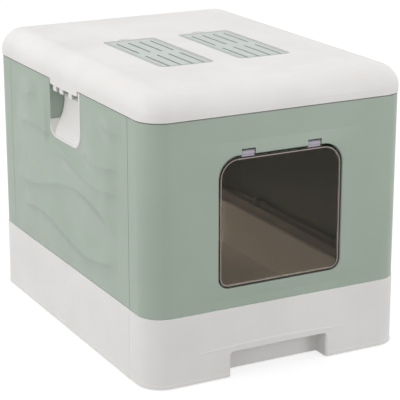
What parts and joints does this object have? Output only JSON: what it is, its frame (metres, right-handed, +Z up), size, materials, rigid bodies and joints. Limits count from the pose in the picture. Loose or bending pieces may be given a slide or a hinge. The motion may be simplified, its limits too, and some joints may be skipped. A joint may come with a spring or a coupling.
{
  "type": "drawer litter box",
  "caption": "Rounded, covered litter box with a pull-out drawer, swinging clear flap, side-opening lid with filter vents and walls that fold in.",
  "frame": {"origin": "middle of the underside, on the floor, midway between the outer faces", "axes": "+Z up, -Y out of the front face with the flap and the drawer, +X to the right as seen from the front"},
  "size_m": [0.378, 0.5, 0.385],
  "materials": {
    "white_shell": "fine satin moulded polypropylene",
    "sage_wall": "fine satin moulded polypropylene",
    "vent_grey": "fine satin moulded polypropylene",
    "smoke_flap": "polished clear smoke-brown sheet",
    "pin_plastic": "smooth drawn acetal rod",
    "carbon_pad": "carbon-loaded non-woven pad"
  },
  "bodies": {
    "base": {"base_frame": "white_shell", "front_panel": "sage_wall", "rear_panel": "sage_wall", "front_wall_pins": "pin_plastic", "rear_wall_pins": "pin_plastic", "left_fold_rod": "pin_plastic", "right_fold_rod": "pin_plastic"},
    "drawer": {"drawer_front": "white_shell", "drawer_tray": "white_shell"},
    "flap": {"door_flap": "smoke_flap"},
    "lid": {"lid_shell": "white_shell", "left_lid_clip": "white_shell", "right_lid_clip": "white_shell", "left_filter_pad": "carbon_pad", "right_filter_pad": "carbon_pad"},
    "left_vent": {"left_vent_cover": "vent_grey"},
    "right_vent": {"right_vent_cover": "vent_grey"},
    "left_wall": {"left_side_panel": "sage_wall", "left_keeper_bar": "sage_wall", "left_recess_liner": "white_shell"},
    "right_wall": {"right_side_panel": "sage_wall", "right_keeper_bar": "sage_wall", "right_recess_liner": "white_shell"}
  },
  "joints": [
    {"name": "drawer_slide", "type": "slide", "parent": "base", "child": "drawer", "axis": [0, -1, 0], "range_m": [0, 0.38]},
    {"name": "flap_swing", "type": "hinge", "parent": "base", "child": "flap", "pos_m": [0, -0.2445, 0.295], "axis": [1, 0, 0], "range_deg": [-80, 80]},
    {"name": "lid_swing", "type": "hinge", "parent": "base", "child": "lid", "pos_m": [0.181, 0, 0.331], "axis": [0, 1, 0], "range_deg": [0, 100]},
    {"name": "left_vent_lift", "type": "hinge", "parent": "lid", "child": "left_vent", "pos_m": [-0.058, -0.0975, 0.379], "axis": [1, 0, 0], "range_deg": [0, 75]},
    {"name": "right_vent_lift", "type": "hinge", "parent": "lid", "child": "right_vent", "pos_m": [0.058, -0.0975, 0.379], "axis": [1, 0, 0], "range_deg": [0, 75]},
    {"name": "left_wall_fold", "type": "hinge", "parent": "base", "child": "left_wall", "pos_m": [-0.1795, 0, 0.1], "axis": [0, 1, 0], "range_deg": [0, 90]},
    {"name": "right_wall_fold", "type": "hinge", "parent": "base", "child": "right_wall", "pos_m": [0.1795, 0, 0.1], "axis": [0, -1, 0], "range_deg": [0, 82]}
  ]
}
